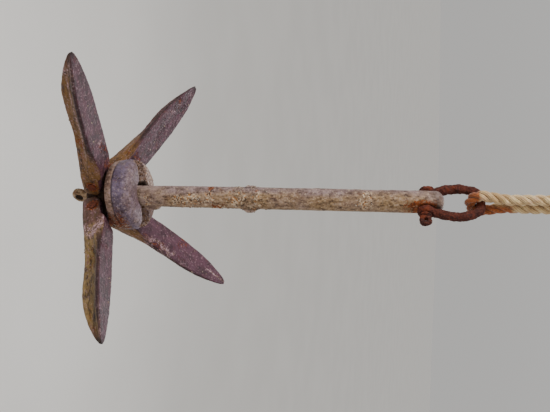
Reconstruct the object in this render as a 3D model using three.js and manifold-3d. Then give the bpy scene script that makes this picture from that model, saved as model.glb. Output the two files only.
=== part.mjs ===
// Four-fluke folding grapnel anchor, hanging from a shackle and a doubled rope.
// Millimetres, +Z up. While it is built, z = 0 is the plane of the four fluke pins.
// The finished group hangs from the inside top of the rope's end loop, which is its origin.

import * as THREE from 'three';
import { mergeVertices } from 'three/addons/utils/BufferGeometryUtils.js';
import Module from 'manifold-3d';

const wasm = await Module();
wasm.setup();

// ---- driving dimensions -------------------------------------------------

const GAP = 0.3;

// shank
const SHANK_R = 10;
const SHANK_TOP_Z = 317;
const DOME_HEIGHT = 7.5;
const SHANK_FLAT = 15.6;
const SHANK_FLAT_FROM_Z = 289;
const EAR_Z = 145;
const EAR_LENGTH = 11.5;
const EAR_REACH = 12.4;
const EAR_OFFSET = 1;
const EAR_WIDTH = 8;
const LOCK_EAR_Z = 49;
const LOCK_EAR_LENGTH = 12;
const LOCK_EAR_REACH = 13.2;

// crown
const PIN_CIRCLE_R = 24.3;
const PIN_R = 3;
const HUB_R = 13;
const HUB_BOTTOM_Z = -15;
const HUB_TOP_Z = 6;
const LUG_WIDTH = 9;
const LUG_END_R = 6.8;
const EYE_Z = -27.4;
const EYE_OFFSET = 1.2;
const EYE_R = 8;
const EYE_WIDTH = 7;
const EYE_HOLE_R = 3.5;
const NECK_R = 6;

// flukes: each leaves the pin at its own angle above the horizontal, in degrees, and its palm
// starts at its own distance from the pin, clear of the collar
const FLUKES = [
  { name: 'front', turn: -90, rise: 12.7, heel: 13 },
  { name: 'right', turn: 0, rise: 21.6, heel: 15 },
  { name: 'back', turn: 90, rise: 37.1, heel: 21.5 },
  { name: 'left', turn: 180, rise: 19.7, heel: 15.5 },
];
const HEEL_HEIGHT = 11;
const HEEL_STEP = 3.4;
const ROOT_HEIGHT = 7.6;
const FORK_WIDTH = 25.2;
const FORK_END = -11.4;
const FORK_SLOT_WIDTH = LUG_WIDTH + 2 * GAP;
const FORK_SLOT_DEPTH = 8;
const FLUKE_TIP = 144.5;

// collar
const COLLAR_R = 33.5;
const COLLAR_Z = 14.5;
const COLLAR_HEIGHT = 25.5;
const COLLAR_BORE_R = 12.6;
const COLLAR_HOLLOW_R = 27.5;
const COLLAR_HOLLOW_DEPTH = 9;
const CHANNEL_WIDTH = 15;
const CHANNEL_DEPTH = 9.5;
const NOTCH_WIDTH = 10;
const NOTCH_REACH = 16;
const COLLAR_TILT = THREE.MathUtils.degToRad(5);

// shackle
const SHACKLE_PIN_Z = 302;
const SHACKLE_PIN_R = 3.8;
const SHACKLE_ROD_R = 4;
const SHACKLE_JAW = 16.4;
const SHACKLE_EAR_R = 7.2;
const SHACKLE_EAR_THICK = 6;
const SHACKLE_CROWN_Z = 346.5;
const SHACKLE_BELLY = 15.5;

// rope
const ROPE_R = 4.6;
const KNOT_Z = 424;
const KNOT_HALF_HEIGHT = 16;
const KNOT_R = 17;
const KNOT_FLATNESS = 0.76;
const LOOP_INNER_TOP_Z = 474;

// ---- helpers --------------------------------------------------------------

function toSolid(geometry) {
  const bare = geometry.index ? geometry.toNonIndexed() : geometry.clone();
  bare.deleteAttribute('normal');
  bare.deleteAttribute('uv');
  const merged = mergeVertices(bare, 1e-4);
  const mesh = new wasm.Mesh({
    numProp: 3,
    vertProperties: new Float32Array(merged.attributes.position.array),
    triVerts: new Uint32Array(merged.index.array),
  });
  return new wasm.Manifold(mesh);
}

function toGeometry(solid) {
  const mesh = solid.getMesh();
  const geometry = new THREE.BufferGeometry();
  geometry.setAttribute('position', new THREE.BufferAttribute(mesh.vertProperties, 3));
  geometry.setIndex(new THREE.BufferAttribute(mesh.triVerts, 1));
  const faceted = geometry.toNonIndexed();
  faceted.computeVertexNormals();
  return faceted;
}

// turns a geometry about the origin, in degrees about X, then Y, then Z, then moves it
function place(geometry, [x, y, z], [rx, ry, rz] = [0, 0, 0]) {
  const rad = THREE.MathUtils.degToRad;
  geometry.rotateX(rad(rx));
  geometry.rotateY(rad(ry));
  geometry.rotateZ(rad(rz));
  return geometry.translate(x, y, z);
}

// a solid cylinder between two points given along one axis
function rod(radius, length, centre, turn, sides = 32) {
  return place(new THREE.CylinderGeometry(radius, radius, length, sides), centre, turn);
}

const ALONG_X = [0, 0, 90];
const ALONG_Z = [90, 0, 0];

function box(size, centre, turn) {
  return place(new THREE.BoxGeometry(...size), centre, turn);
}

// a solid of revolution about Z from [radius, height] points
function lathe(points, sides) {
  const profile = points.map(([r, z]) => new THREE.Vector2(r, z));
  return new THREE.LatheGeometry(profile, sides).rotateX(Math.PI / 2);
}

function tube(curve, radius, steps, sides) {
  const shape = new THREE.Shape();
  for (let i = 0; i < sides; i += 1) {
    const a = (i / sides) * 2 * Math.PI;
    const point = [radius * Math.cos(a), radius * Math.sin(a)];
    if (i === 0) shape.moveTo(...point);
    else shape.lineTo(...point);
  }
  return new THREE.ExtrudeGeometry(shape, { steps, extrudePath: curve, bevelEnabled: false });
}

// a smooth value read off [station, value] points
function along(table, x) {
  const last = table.length - 1;
  let i = 0;
  while (i < last - 1 && x > table[i + 1][0]) i += 1;
  const [x0, y0] = table[i];
  const [x1, y1] = table[i + 1];
  const t = THREE.MathUtils.clamp((x - x0) / (x1 - x0), 0, 1);
  return y0 + (y1 - y0) * t;
}

// closed skin over rings of equal length, with flat caps
function loft(rings) {
  const count = rings[0].length;
  const positions = rings.flat(2);
  const index = [];
  for (let i = 0; i + 1 < rings.length; i += 1) {
    for (let j = 0; j < count; j += 1) {
      const k = (j + 1) % count;
      const a = i * count + j;
      const b = i * count + k;
      const c = a + count;
      const d = b + count;
      index.push(a, d, b, a, c, d);
    }
  }
  const end = (rings.length - 1) * count;
  for (let j = 1; j + 1 < count; j += 1) {
    index.push(0, j, j + 1);
    index.push(end, end + j + 1, end + j);
  }
  const geometry = new THREE.BufferGeometry();
  geometry.setAttribute('position', new THREE.Float32BufferAttribute(positions, 3));
  geometry.setIndex(index);
  return geometry;
}

const anchor = new THREE.Group();

function add(parent, name, geometry, color, roughness, metalness) {
  const material = new THREE.MeshStandardMaterial({ color, roughness, metalness });
  const mesh = new THREE.Mesh(geometry, material);
  mesh.name = name;
  parent.add(mesh);
  return mesh;
}

// ---- shank, crown, stop ears and nose eye: one forging ---------------------

function shankSolid() {
  const profile = [
    [0, HUB_BOTTOM_Z],
    [HUB_R - 2.5, HUB_BOTTOM_Z],
    [HUB_R, HUB_BOTTOM_Z + 2.5],
    [HUB_R, HUB_TOP_Z - 2],
    [HUB_R - 1.2, HUB_TOP_Z],
    [SHANK_R, HUB_TOP_Z + 2],
    [SHANK_R, SHANK_TOP_Z - DOME_HEIGHT],
  ];
  const domeSteps = 6;
  for (let i = 1; i <= domeSteps; i += 1) {
    const a = (i / domeSteps) * (Math.PI / 2);
    const r = i === domeSteps ? 0 : SHANK_R * Math.cos(a);
    profile.push([r, SHANK_TOP_Z - DOME_HEIGHT * (1 - Math.sin(a))]);
  }
  let solid = toSolid(lathe(profile, 48));

  // four lugs that carry the rivets, in a cross
  for (const { turn } of FLUKES) {
    const lug = new THREE.Shape();
    lug.moveTo(0, HUB_BOTTOM_Z + 1);
    lug.lineTo(17, HUB_BOTTOM_Z + 1);
    lug.lineTo(PIN_CIRCLE_R + 3.4, -LUG_END_R + 0.9);
    lug.absarc(PIN_CIRCLE_R, 0, LUG_END_R, -1.05, Math.PI / 2 - 0.5, false);
    lug.lineTo(PIN_CIRCLE_R, HUB_TOP_Z);
    lug.lineTo(0, HUB_TOP_Z);
    const plate = new THREE.ExtrudeGeometry(lug, {
      depth: LUG_WIDTH,
      bevelEnabled: false,
      curveSegments: 16,
    });
    place(plate, [0, LUG_WIDTH / 2, 0], [90, 0, 0]);
    plate.rotateZ(THREE.MathUtils.degToRad(turn));
    solid = solid.add(toSolid(plate));
    const bore = rod(PIN_R + GAP, 4 * HUB_R, [PIN_CIRCLE_R, 0, 0], [0, 0, 0], 24);
    bore.rotateZ(THREE.MathUtils.degToRad(turn));
    const keep = box([20, LUG_WIDTH + 2, 20], [PIN_CIRCLE_R, 0, 0]);
    keep.rotateZ(THREE.MathUtils.degToRad(turn));
    solid = solid.subtract(toSolid(bore).intersect(toSolid(keep)));
  }

  // nose eye for a trip line, drilled along X
  solid = solid.add(toSolid(rod(NECK_R, 10, [0, EYE_OFFSET / 2, HUB_BOTTOM_Z - 2], ALONG_Z)));
  const eyeBody = place(
    lathe(
      [
        [0, -EYE_WIDTH / 2],
        [EYE_R - 2, -EYE_WIDTH / 2],
        [EYE_R, -EYE_WIDTH / 2 + 1.6],
        [EYE_R, EYE_WIDTH / 2 - 1.6],
        [EYE_R - 2, EYE_WIDTH / 2],
        [0, EYE_WIDTH / 2],
      ],
      36
    ),
    [0, EYE_OFFSET, EYE_Z],
    [0, 90, 0]
  );
  solid = solid.add(toSolid(eyeBody));
  solid = solid.subtract(toSolid(rod(EYE_HOLE_R, 30, [0, EYE_OFFSET, EYE_Z], ALONG_X, 28)));

  // ears that the collar's notches pass over: a pair up the shank, one just above the collar
  const ears = new THREE.Shape();
  ears.moveTo(-EAR_REACH + 1.5, EAR_LENGTH / 2 - 1);
  ears.lineTo(-EAR_REACH, EAR_LENGTH / 2 - 3);
  ears.lineTo(-EAR_REACH, -EAR_LENGTH / 2 + 3);
  ears.lineTo(-EAR_REACH + 1.5, -EAR_LENGTH / 2 + 1);
  ears.lineTo(-SHANK_R + 1, -EAR_LENGTH / 2 - 2);
  ears.lineTo(SHANK_R - 1, -EAR_LENGTH / 2 - 2);
  ears.lineTo(EAR_REACH - 1.5, -EAR_LENGTH / 2 + 1);
  ears.lineTo(EAR_REACH, -EAR_LENGTH / 2 + 3);
  ears.lineTo(EAR_REACH, EAR_LENGTH / 2 - 3);
  ears.lineTo(EAR_REACH - 1.5, EAR_LENGTH / 2 - 1);
  ears.lineTo(SHANK_R - 1, EAR_LENGTH / 2 + 2);
  ears.lineTo(-SHANK_R + 1, EAR_LENGTH / 2 + 2);
  ears.closePath();
  const earPlate = new THREE.ExtrudeGeometry(ears, { depth: EAR_WIDTH, bevelEnabled: false });
  place(earPlate, [0, EAR_WIDTH / 2, 0], [90, 0, 0]);
  place(earPlate, [0, 0, EAR_Z], [0, 0, 45]);
  earPlate.translate(EAR_OFFSET * Math.SQRT1_2, EAR_OFFSET * Math.SQRT1_2, 0);
  solid = solid.add(toSolid(earPlate));

  const lock = new THREE.Shape();
  lock.moveTo(0, -LOCK_EAR_LENGTH / 2 - 2);
  lock.lineTo(SHANK_R - 1, -LOCK_EAR_LENGTH / 2 - 2);
  lock.lineTo(LOCK_EAR_REACH - 1, -LOCK_EAR_LENGTH / 2);
  lock.lineTo(LOCK_EAR_REACH, -LOCK_EAR_LENGTH / 2 + 2);
  lock.lineTo(LOCK_EAR_REACH, LOCK_EAR_LENGTH / 2 - 2);
  lock.lineTo(LOCK_EAR_REACH - 1, LOCK_EAR_LENGTH / 2);
  lock.lineTo(SHANK_R - 1, LOCK_EAR_LENGTH / 2 + 2);
  lock.lineTo(0, LOCK_EAR_LENGTH / 2 + 2);
  lock.closePath();
  const lockPlate = new THREE.ExtrudeGeometry(lock, { depth: EAR_WIDTH, bevelEnabled: false });
  place(lockPlate, [0, EAR_WIDTH / 2, 0], [90, 0, 0]);
  place(lockPlate, [0, 0, LOCK_EAR_Z], [0, 0, 45]);
  solid = solid.add(toSolid(lockPlate));

  // two flats for the shackle's jaw, and its pin's cross hole
  for (const side of [-1, 1]) {
    const flat = box([SHANK_R, 3 * SHANK_R, 60], [0, 0, SHANK_FLAT_FROM_Z + 30]);
    flat.translate(side * (SHANK_FLAT / 2 + SHANK_R / 2), 0, 0);
    solid = solid.subtract(toSolid(flat));
  }
  const hole = rod(SHACKLE_PIN_R + GAP, 60, [0, 0, SHACKLE_PIN_Z], ALONG_X, 32);
  return solid.subtract(toSolid(hole));
}

// ---- flukes -----------------------------------------------------------------

// stations run out from the pin; heights are across the blade, + towards the shank when folded
// the palm is a plate with a rib down its outer side
const ROOT_FACE = [[FORK_END, 3.2], [-6, ROOT_HEIGHT]];
const PALM_FACE = [
  [25, 11.4], [32, 10.6], [46, 9], [60, 7.6], [85, 6.2], [100, 5.2], [115, 4.4], [127, 3.6],
  [136, 2.8], [FLUKE_TIP, 1.6],
];
const RIB_EDGE = [
  [FORK_END, -8.8], [-9, -10.2], [15, -10.6], [30, -10.8], [48, -11.2], [68, -12.6], [88, -14.2],
  [104, -14.2], [116, -11.8], [126, -9], [135, -5.8], [141, -3.2], [FLUKE_TIP, -0.6],
];
const HALF_WIDTH = [
  [FORK_END, 12.2], [-9, 12.6], [20, 12.6], [25, 12.5], [32, 13.4], [46, 14.6], [60, 15.2], [85, 15],
  [100, 13.8], [115, 11.5], [126, 9.1], [135, 6.7], [141, 4.6], [FLUKE_TIP, 2.2],
];
const PALM_THICKNESS = [[FORK_END, 4.6], [60, 4.6], [115, 4], [FLUKE_TIP, 0.9]];
// how far the root block has turned into palm and rib: 0 at the fork, 1 along the blade
const BLADE_SHARE = [[FORK_END, 0], [26, 0], [62, 1], [FLUKE_TIP, 1]];
// how far the square fork has drawn in underneath
const KEEL_SHARE = [[FORK_END, 0], [9, 0], [30, 1], [FLUKE_TIP, 1]];

// one section, from the palm's middle round to the rib and back
function flukeRing(u, face) {
  const top = along(face, u);
  const low = along(RIB_EDGE, u);
  const w = along(HALF_WIDTH, u);
  const edge = along(PALM_THICKNESS, u);
  const share = along(BLADE_SHARE, u);
  const depth = top - low;
  const keel = along(KEEL_SHARE, u);
  const mix = (block, blade) => block + (blade - block) * share;
  const root = (square, drawn) => square + (drawn - square) * keel;
  const under = mix(low + depth * 0.5, top - edge);
  const half = [
    [0, top - mix(0, 0.5)],
    [w * 0.6, top - mix(0, 0.2)],
    [w * 0.93, top - mix(0.2, 0)],
    [w, top - 0.9],
    [w, mix(top - depth * 0.3, under + 0.7)],
    [w * mix(1, 0.95), under],
    [w * mix(root(1, 0.92), 0.52), mix(under - depth * 0.15, under - (under - low) * 0.22)],
    [w * mix(root(0.98, 0.78), 0.32), mix(low + depth * 0.16, under - (under - low) * 0.55)],
    [w * mix(root(0.92, 0.64), 0.2), low + mix(1, 0.8)],
    [w * mix(root(0.84, 0.54), 0.12), low],
  ];
  const mirrored = half
    .slice(1)
    .reverse()
    .map(([t, v]) => [-t, v]);
  return [...half, ...mirrored].map(([t, v]) => [u, t, v]);
}

function flukeSolid(rise, heel) {
  const step = [[heel - HEEL_STEP, ROOT_HEIGHT], [heel, HEEL_HEIGHT]];
  const face = [...ROOT_FACE, ...step, ...PALM_FACE];
  const stations = [FORK_END, -9, -6, 0, 6, heel - HEEL_STEP, heel - HEEL_STEP / 2, heel, 25, 28.5, 32];
  stations.push(39, 46, 53, 60, 68, 76, 85, 93, 100, 107, 113, 119, 125, 130, 135, 139, 142, FLUKE_TIP);
  let solid = toSolid(loft(stations.map((u) => flukeRing(u, face))));
  const slotLength = FORK_SLOT_DEPTH - FORK_END + 1;
  const slotMiddle = FORK_SLOT_DEPTH - slotLength / 2;
  const slot = box([slotLength, FORK_SLOT_WIDTH, 60], [slotMiddle, 0, 0]);
  solid = solid.subtract(toSolid(slot));
  solid = solid.subtract(toSolid(rod(PIN_R + GAP, 40, [0, 0, 0], [0, 0, 0], 24)));
  const turned = toGeometry(solid);
  turned.rotateY(THREE.MathUtils.degToRad(-rise));
  return turned;
}

function rivetGeometry() {
  const half = FORK_WIDTH / 2;
  const body = PIN_R;
  const head = PIN_R + 1.2;
  const profile = [
    [0, -half - 1.3],
    [head - 1, -half - 1.3],
    [head, -half - 0.8],
    [head, -half - GAP],
    [body, -half - GAP],
    [body, half + GAP],
    [head, half + GAP],
    [head, half + 0.8],
    [head - 1, half + 1.3],
    [0, half + 1.3],
  ];
  return lathe(profile, 24).rotateX(Math.PI / 2);
}

// ---- collar ----------------------------------------------------------------

function collarSolid() {
  const h = COLLAR_HEIGHT;
  const profile = [
    [COLLAR_HOLLOW_R, 0],
    [COLLAR_R - 3, 0],
    [COLLAR_R - 1.2, 1.2],
    [COLLAR_R - 0.2, 4],
    [COLLAR_R - 0.2, 7],
    [COLLAR_R - 1.1, 7.7],
    [COLLAR_R - 1.1, 8.3],
    [COLLAR_R, 9],
    [COLLAR_R, h - 8],
    [COLLAR_R - 1.3, h - 4.4],
    [COLLAR_R - 3.8, h - 1.8],
    [COLLAR_R - 7.2, h - 0.4],
    [COLLAR_R - 10, h],
    [COLLAR_BORE_R + 2, h],
    [COLLAR_BORE_R, h - 2],
    [COLLAR_BORE_R, COLLAR_HOLLOW_DEPTH],
    [COLLAR_HOLLOW_R - 2, COLLAR_HOLLOW_DEPTH],
    [COLLAR_HOLLOW_R, COLLAR_HOLLOW_DEPTH - 2],
    [COLLAR_HOLLOW_R, 0],
  ];
  let solid = toSolid(lathe(profile, 64));
  const channelZ = h - CHANNEL_DEPTH / 2 + 1;
  const channel = box([90, CHANNEL_WIDTH, CHANNEL_DEPTH + 2], [0, 0, channelZ]);
  solid = solid.subtract(toSolid(channel));
  const notch = box([2 * NOTCH_REACH, NOTCH_WIDTH, 60], [0, 0, 0]);
  solid = solid.subtract(toSolid(notch));
  return solid;
}

// ---- shackle ------------------------------------------------------------------

function shackleBowSolid() {
  const rise = SHACKLE_PIN_Z;
  const ear = (SHACKLE_JAW + SHACKLE_EAR_THICK) / 2;
  const points = [
    [-ear, rise],
    [-ear - 1, rise + 9],
    [-ear - 3.4, rise + 17],
    [-SHACKLE_BELLY, rise + 27],
    [-SHACKLE_BELLY * 0.88, rise + 36.5],
    [-SHACKLE_BELLY * 0.5, rise + 44],
    [0, SHACKLE_CROWN_Z],
  ];
  const other = points
    .slice(0, -1)
    .reverse()
    .map(([x, z]) => [-x, z]);
  const curve = new THREE.CatmullRomCurve3(
    [...points, ...other].map(([x, z]) => new THREE.Vector3(x, 0, z))
  );
  let solid = toSolid(tube(curve, SHACKLE_ROD_R, 40, 16));
  const edge = 1.4;
  for (const side of [-1, 1]) {
    const half = SHACKLE_EAR_THICK / 2;
    const disc = lathe(
      [
        [0, -half],
        [SHACKLE_EAR_R - edge, -half],
        [SHACKLE_EAR_R, -half + edge],
        [SHACKLE_EAR_R, half - edge],
        [SHACKLE_EAR_R - edge, half],
        [0, half],
      ],
      36
    );
    solid = solid.add(toSolid(place(disc, [side * ear, 0, rise], [0, 90, 0])));
  }
  const jaw = box([SHACKLE_JAW, 30, 18], [0, 0, rise - 1]);
  solid = solid.subtract(toSolid(jaw));
  // flat outer faces round the pin's shoulders
  const outer = SHACKLE_JAW / 2 + SHACKLE_EAR_THICK;
  for (const side of [-1, 1]) {
    const face = box([6, 30, 14.5], [side * (outer + 3), 0, rise - 1]);
    solid = solid.subtract(toSolid(face));
  }
  const bore = rod(SHACKLE_PIN_R + GAP, 80, [0, 0, rise], ALONG_X, 32);
  return solid.subtract(toSolid(bore));
}

function shacklePinSolid() {
  const outer = SHACKLE_JAW / 2 + SHACKLE_EAR_THICK;
  const profile = [
    [0, -outer - 1],
    [SHACKLE_PIN_R - 1, -outer - 1],
    [SHACKLE_PIN_R, -outer],
    [SHACKLE_PIN_R, outer + GAP],
    [SHACKLE_PIN_R + 1.6, outer + GAP],
    [SHACKLE_PIN_R + 1.6, outer + 2],
    [SHACKLE_PIN_R, outer + 2.8],
    [0, outer + 2.8],
  ];
  let solid = toSolid(place(lathe(profile, 32), [0, 0, 0], [0, 90, 0]));
  const eyeCentre = outer + 6.2;
  const eye = new THREE.Shape();
  eye.absarc(0, 0, 4.2, 0, 2 * Math.PI, false);
  const plate = new THREE.ExtrudeGeometry(eye, {
    depth: 3,
    bevelEnabled: true,
    bevelThickness: 1.2,
    bevelSize: 0.9,
    bevelSegments: 2,
    curveSegments: 24,
  });
  plate.translate(0, 0, -1.5);
  plate.rotateX(Math.PI / 2);
  plate.translate(eyeCentre, 0, 0);
  solid = solid.add(toSolid(plate));
  const hole = rod(2.1, 20, [eyeCentre + 0.6, 0, 0], [0, 0, 0], 20);
  return solid.subtract(toSolid(hole));
}

// ---- rope ------------------------------------------------------------------

const ROPE_TURN_R = SHACKLE_ROD_R + ROPE_R + GAP;
const KNOT_BOTTOM_Z = KNOT_Z - KNOT_HALF_HEIGHT;
const KNOT_TOP_Z = KNOT_Z + KNOT_HALF_HEIGHT;

// one part of the rope comes down from the knot, turns under the bow's crown and goes back up
function ropeCurve() {
  const side = [
    [5, KNOT_BOTTOM_Z - GAP],
    [5, KNOT_BOTTOM_Z - 12],
    [5, KNOT_BOTTOM_Z - 26],
    [5.1, SHACKLE_CROWN_Z + 20],
    [6.9, SHACKLE_CROWN_Z + 10],
    [ROPE_TURN_R, SHACKLE_CROWN_Z + 1],
  ];
  const turn = [];
  for (const degrees of [-26, -52, -78]) {
    const a = THREE.MathUtils.degToRad(degrees);
    turn.push([ROPE_TURN_R * Math.cos(a), SHACKLE_CROWN_Z + ROPE_TURN_R * Math.sin(a)]);
  }
  const down = [...side, ...turn];
  const up = [...down].reverse().map(([y, z]) => [-y, z]);
  return new THREE.CatmullRomCurve3([...down, ...up].map(([y, z]) => new THREE.Vector3(0, y, z)));
}

function loopCurve() {
  const top = LOOP_INNER_TOP_Z + ROPE_R;
  const side = [
    [5.4, KNOT_TOP_Z + GAP],
    [5.4, KNOT_TOP_Z + 3],
    [6.2, KNOT_TOP_Z + 7],
    [9.2, KNOT_TOP_Z + 14],
    [10.8, top - 15],
    [10.2, top - 8],
    [6.4, top - 2],
  ];
  const up = [...side, [0, top]];
  const down = [...side].reverse().map(([y, z]) => [-y, z]);
  return new THREE.CatmullRomCurve3([...up, ...down].map(([y, z]) => new THREE.Vector3(0, y, z)));
}

function knotGeometry() {
  const profile = [];
  const steps = 10;
  for (let i = 0; i <= steps; i += 1) {
    const a = -Math.PI / 2 + (i / steps) * Math.PI;
    const flat = Math.min(Math.max(Math.sin(a) * 1.12, -1), 1);
    const r = KNOT_R * Math.max(Math.cos(a * 0.93), 0) ** 0.7;
    profile.push([r, KNOT_HALF_HEIGHT * flat]);
  }
  const closed = [[0, -KNOT_HALF_HEIGHT], ...profile, [0, KNOT_HALF_HEIGHT]];
  return lathe(closed, 28).scale(KNOT_FLATNESS, 1, 1).translate(0, 0, KNOT_Z);
}

// ---- assembly ---------------------------------------------------------------

const ZINC = '#6f6a70';
const ZINC_PALE = '#8b857c';
const RUST_RED = '#5e2f25';
const RUST_DARK = '#3a2320';
const ROPE_WHITE = '#d9d2c0';

const hung = new THREE.Group();
hung.position.z = -LOOP_INNER_TOP_Z;
anchor.add(hung);

add(hung, 'shank', toGeometry(shankSolid()), ZINC_PALE, 0.75, 0.4);

for (const { name, turn, rise, heel } of FLUKES) {
  const arm = new THREE.Group();
  arm.rotation.z = THREE.MathUtils.degToRad(turn);
  hung.add(arm);
  const fluke = add(arm, `fluke_${name}`, flukeSolid(rise, heel), ZINC, 0.72, 0.4);
  fluke.position.x = PIN_CIRCLE_R;
  const rivet = add(arm, `rivet_${name}`, rivetGeometry(), RUST_RED, 0.85, 0.3);
  rivet.position.x = PIN_CIRCLE_R;
}

const collar = add(hung, 'collar', toGeometry(collarSolid()), ZINC, 0.72, 0.4);
collar.rotateOnAxis(new THREE.Vector3(1, -1, 0).normalize(), COLLAR_TILT);
collar.rotateZ(Math.PI / 4);
collar.position.z = COLLAR_Z;

add(hung, 'shackle_bow', toGeometry(shackleBowSolid()), RUST_DARK, 0.9, 0.3);
const shacklePin = add(hung, 'shackle_pin', toGeometry(shacklePinSolid()), RUST_DARK, 0.9, 0.3);
shacklePin.position.z = SHACKLE_PIN_Z;

add(hung, 'rope', tube(ropeCurve(), ROPE_R, 48, 12), ROPE_WHITE, 0.95, 0);
add(hung, 'rope_knot', knotGeometry(), ROPE_WHITE, 0.95, 0);
add(hung, 'rope_end_loop', tube(loopCurve(), ROPE_R, 28, 12), ROPE_WHITE, 0.95, 0);

export default anchor;
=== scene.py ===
import functools
import itertools
import math

import bpy
import numpy as np
from mathutils import Matrix, Vector


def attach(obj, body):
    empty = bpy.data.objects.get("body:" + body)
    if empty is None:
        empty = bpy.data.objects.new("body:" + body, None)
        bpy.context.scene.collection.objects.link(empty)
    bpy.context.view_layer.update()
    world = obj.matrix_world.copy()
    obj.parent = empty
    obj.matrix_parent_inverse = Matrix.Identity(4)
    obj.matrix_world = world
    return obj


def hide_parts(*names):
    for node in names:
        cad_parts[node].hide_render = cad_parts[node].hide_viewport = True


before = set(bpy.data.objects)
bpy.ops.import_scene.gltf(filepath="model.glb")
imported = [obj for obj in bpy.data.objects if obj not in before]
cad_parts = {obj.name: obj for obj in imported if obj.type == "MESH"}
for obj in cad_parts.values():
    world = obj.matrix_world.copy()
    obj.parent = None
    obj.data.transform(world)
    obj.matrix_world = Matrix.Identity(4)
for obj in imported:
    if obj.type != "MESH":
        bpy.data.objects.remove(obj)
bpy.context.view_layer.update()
scene = bpy.context.scene

MM = 0.001
PINS_LOW = -474  # the plane of the four fluke pins, in millimetres from the origin
PINS_Z = PINS_LOW * MM
SEED = 11

# ---- camera: turned on its side, as the anchor lies across the picture

CAMERA_PLACE = Vector((0.4004, -0.4510, -0.1558))
CAMERA_AZIMUTH = math.radians(40.97)  # which way the camera stands from the anchor
CAMERA_RISE = math.radians(13.97)
CAMERA_ROLL = math.radians(-1.45)
CAMERA_LENS = 45.0


def make_camera():
    out = Vector((math.sin(CAMERA_AZIMUTH), -math.cos(CAMERA_AZIMUTH), 0))
    side = Vector((-math.cos(CAMERA_AZIMUTH), -math.sin(CAMERA_AZIMUTH), 0))
    up = Vector((0, 0, 1))
    back = math.cos(CAMERA_RISE) * out + math.sin(CAMERA_RISE) * up
    along = -math.sin(CAMERA_RISE) * out + math.cos(CAMERA_RISE) * up
    right = math.cos(CAMERA_ROLL) * along - math.sin(CAMERA_ROLL) * side
    top = math.sin(CAMERA_ROLL) * along + math.cos(CAMERA_ROLL) * side
    data = bpy.data.cameras.new("camera")
    data.lens = CAMERA_LENS
    data.sensor_width = 36
    data.clip_start = 0.01
    camera = bpy.data.objects.new("camera", data)
    turn = Matrix((right, top, back)).transposed().to_4x4()
    camera.matrix_world = Matrix.Translation(CAMERA_PLACE) @ turn
    scene.collection.objects.link(camera)
    scene.camera = camera


make_camera()

# ---- noise over points ---------------------------------------------

UINT32_MAX = 0xFFFFFFFF


def hashed(cell, seed):
    """A number from 0 to 1 for each whole-number cell. The big odd numbers only scatter its bits."""
    x = cell.astype(np.uint32)
    h = x[..., 0] * np.uint32(73856093)
    h ^= x[..., 1] * np.uint32(19349663)
    h ^= x[..., 2] * np.uint32(83492791)
    h ^= np.uint32((seed * 2654435761) & UINT32_MAX)
    h ^= h >> np.uint32(15)
    h *= np.uint32(2246822519)
    h ^= h >> np.uint32(13)
    h *= np.uint32(3266489917)
    h ^= h >> np.uint32(16)
    return h.astype(np.float64) / UINT32_MAX


def value_noise(p, seed):
    """Smooth noise from 0 to 1 with one random value at each whole-number corner."""
    base = np.floor(p)
    f = p - base
    w = f * f * f * (f * (f * 6 - 15) + 10)
    cell = base.astype(np.int64)
    total = np.zeros(len(p))
    for corner in range(8):
        step = np.array([corner & 1, corner >> 1 & 1, corner >> 2 & 1])
        share = np.prod(np.where(step == 1, w, 1 - w), axis=1)
        total += share * hashed(cell + step, seed)
    return total


TWIST = np.array([[0.36, 0.48, -0.8], [-0.8, 0.6, 0.0], [0.48, 0.64, 0.6]])


def fbm(p, size, seed, octaves=4, rough=0.5):
    """Layered noise from -1 to 1 whose largest features are `size` across."""
    q = p / size + 57.3
    total, weight, amount = np.zeros(len(p)), 0.0, 1.0
    for octave in range(octaves):
        total += amount * (value_noise(q, seed + octave) * 2 - 1)
        weight += amount
        amount *= rough
        q = q @ TWIST.T * 2.03 + 3.1
    return total / weight * 1.6  # layers seldom add up, so the sum is stretched to reach 1


def cells(p, size, seed):
    """Distance to the nearest of scattered points, in cells of `size`, and that point's own number."""
    q = p / size + 31.7
    base = np.floor(q).astype(np.int64)
    near = np.full(len(p), 9.0)
    own = np.zeros(len(p))
    for offset in itertools.product((-1, 0, 1), repeat=3):
        cell = base + np.array(offset)
        at = cell + np.stack([hashed(cell, seed + k) for k in (1, 2, 3)], axis=1)
        distance = np.linalg.norm(q - at, axis=1)
        closer = distance < near
        own = np.where(closer, hashed(cell, seed + 4), own)
        near = np.where(closer, distance, near)
    return near, own


def ease(low, high, x):
    """0 at `low`, 1 at `high` and smooth between them. It falls where `low` is the greater."""
    t = np.clip((x - low) / (high - low), 0, 1)
    return t * t * (3 - 2 * t)


def bump_at(x, middle, half):
    """1 at `middle`, fading out over about `half` to each side."""
    return np.exp(-(((x - middle) / half) ** 2))


def patches(p, size, seed, low, high, octaves=4, rough=0.5):
    """1 in scattered patches and 0 between them."""
    return ease(low, high, fbm(p, size, seed, octaves, rough))


def highest(*masks):
    return functools.reduce(np.maximum, masks)


# ---- meshes --------------------------------------------------------


def link_mesh(name, mesh, body, slot, *replaced):
    piece = bpy.data.objects.new(name, mesh)
    scene.collection.objects.link(piece)
    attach(piece, body)
    if replaced:
        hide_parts(*replaced)
    return piece


def remeshed(node, voxel):
    """The CAD node's mesh with even small faces, ready for the wear marks."""
    holder = bpy.data.objects.new("holder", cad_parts[node].data.copy())
    scene.collection.objects.link(holder)
    change = holder.modifiers.new("remesh", "REMESH")
    change.mode = "VOXEL"
    change.voxel_size = voxel
    graph = bpy.context.evaluated_depsgraph_get()
    mesh = bpy.data.meshes.new_from_object(holder.evaluated_get(graph))
    bpy.data.objects.remove(holder)
    mesh.materials.clear()
    return mesh


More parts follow.
